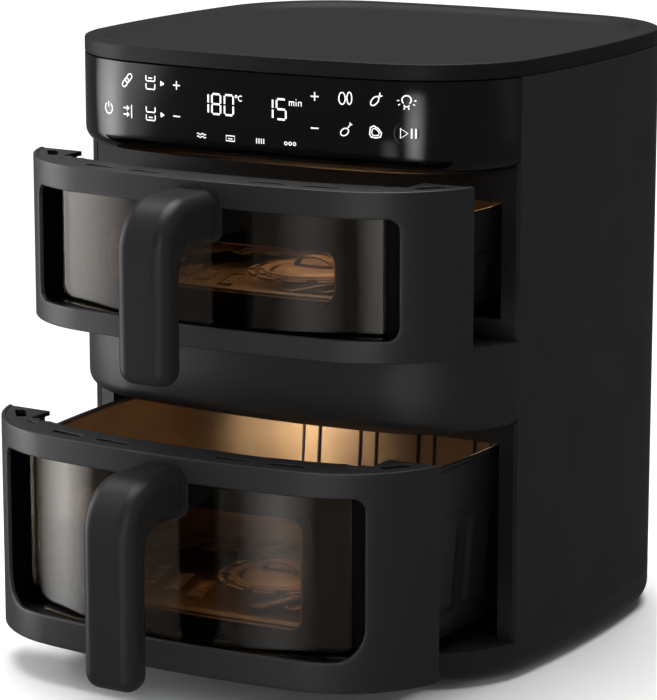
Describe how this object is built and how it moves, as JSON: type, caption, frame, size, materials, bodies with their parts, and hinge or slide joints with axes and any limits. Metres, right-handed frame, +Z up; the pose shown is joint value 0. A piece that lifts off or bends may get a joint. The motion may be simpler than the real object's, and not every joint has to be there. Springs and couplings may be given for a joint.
{
  "type": "air fryer",
  "caption": "Stacked two-drawer air fryer: rounded square housing, touch panel, two windowed drawers with bent handles, baskets and crisper plates, and a hot air unit over each bay.",
  "frame": {"origin": "on the surface that the feet stand on, under the middle of the housing's plan", "axes": "+Z up, -Y out of the drawer fronts, +X to the right as seen from the front"},
  "size_m": [0.31, 0.4533, 0.3669],
  "materials": {
    "black_matte_plastic": "fine matte texture",
    "black_gloss_panel": "high gloss",
    "dark_inner_plastic": "matte",
    "coated_steel_skin": "satin powder coat",
    "galvanised_sheet": "rolled sheet",
    "heater_steel": "oxidised tube",
    "stamped_aluminium": "stamped",
    "plated_screw": "zinc plated",
    "smoked_glass": "polished",
    "clear_glass": "polished",
    "lamp_glass": "frosted",
    "bronze_coating": "non-stick satin",
    "foot_rubber": "matte",
    "silicone": "matte",
    "circuit_board": "solder mask",
    "motor_case": "satin"
  },
  "bodies": {
    "housing": {"base_tray": "black_matte_plastic", "control_fascia": "black_gloss_panel", "cord_inlet": "black_matte_plastic", "display_module": "black_gloss_panel", "foot_screws": "plated_screw", "front_frame": "dark_inner_plastic", "lower_air_dome": "galvanised_sheet", "lower_bay": "galvanised_sheet", "lower_bay_lamp": "lamp_glass", "lower_drawer_switch": "dark_inner_plastic", "lower_fan_motor": "motor_case", "lower_glide_strips": "stamped_aluminium", "lower_heater": "heater_steel", "lower_heater_guard": "stamped_aluminium", "lower_temperature_probe": "plated_screw", "middle_band": "black_matte_plastic", "power_board": "circuit_board", "rear_vent_grille": "black_matte_plastic", "rubber_feet": "foot_rubber", "side_wrap": "coated_steel_skin", "top_cap": "black_matte_plastic", "touch_board": "circuit_board", "upper_air_dome": "galvanised_sheet", "upper_bay": "galvanised_sheet", "upper_bay_lamp": "lamp_glass", "upper_drawer_switch": "dark_inner_plastic", "upper_fan_motor": "motor_case", "upper_glide_strips": "stamped_aluminium", "upper_heater": "heater_steel", "upper_heater_guard": "stamped_aluminium", "upper_temperature_probe": "plated_screw"},
    "upper_drawer": {"upper_basket": "bronze_coating", "upper_drawer_front": "black_matte_plastic", "upper_drawer_liner": "dark_inner_plastic", "upper_handle_back": "black_matte_plastic", "upper_handle_plate": "dark_inner_plastic", "upper_handle_screws": "plated_screw", "upper_handle_shell": "black_matte_plastic", "upper_inner_glass": "clear_glass", "upper_window_bezel": "dark_inner_plastic", "upper_window_glass": "smoked_glass"},
    "lower_drawer": {"lower_basket": "bronze_coating", "lower_drawer_front": "black_matte_plastic", "lower_drawer_liner": "dark_inner_plastic", "lower_handle_back": "black_matte_plastic", "lower_handle_plate": "dark_inner_plastic", "lower_handle_screws": "plated_screw", "lower_handle_shell": "black_matte_plastic", "lower_inner_glass": "clear_glass", "lower_window_bezel": "dark_inner_plastic", "lower_window_glass": "smoked_glass"},
    "upper_plate_unit": {"upper_crisper_plate": "bronze_coating", "upper_plate_bumpers": "silicone"},
    "lower_plate_unit": {"lower_crisper_plate": "bronze_coating", "lower_plate_bumpers": "silicone"},
    "upper_fan_rotor": {"upper_fan": "stamped_aluminium", "upper_fan_shaft": "plated_screw"},
    "lower_fan_rotor": {"lower_fan": "stamped_aluminium", "lower_fan_shaft": "plated_screw"}
  },
  "joints": [
    {"name": "upper_drawer_slide", "type": "slide", "parent": "housing", "child": "upper_drawer", "axis": [0, -1, 0], "range_m": [-0.05505, 0.09495]},
    {"name": "upper_plate_lift", "type": "slide", "parent": "upper_drawer", "child": "upper_plate_unit", "axis": [0, 0, 1], "range_m": [0, 0.035]},
    {"name": "upper_fan_spin", "type": "hinge", "parent": "housing", "child": "upper_fan_rotor", "pos_m": [0, 0.009, 0.3], "axis": [0, 0, 1], "continuous": true},
    {"name": "lower_drawer_slide", "type": "slide", "parent": "housing", "child": "lower_drawer", "axis": [0, -1, 0], "range_m": [-0.09227, 0.05773]},
    {"name": "lower_plate_lift", "type": "slide", "parent": "lower_drawer", "child": "lower_plate_unit", "axis": [0, 0, 1], "range_m": [0, 0.075]},
    {"name": "lower_fan_spin", "type": "hinge", "parent": "housing", "child": "lower_fan_rotor", "pos_m": [0, 0.009, 0.16], "axis": [0, 0, 1], "continuous": true}
  ]
}
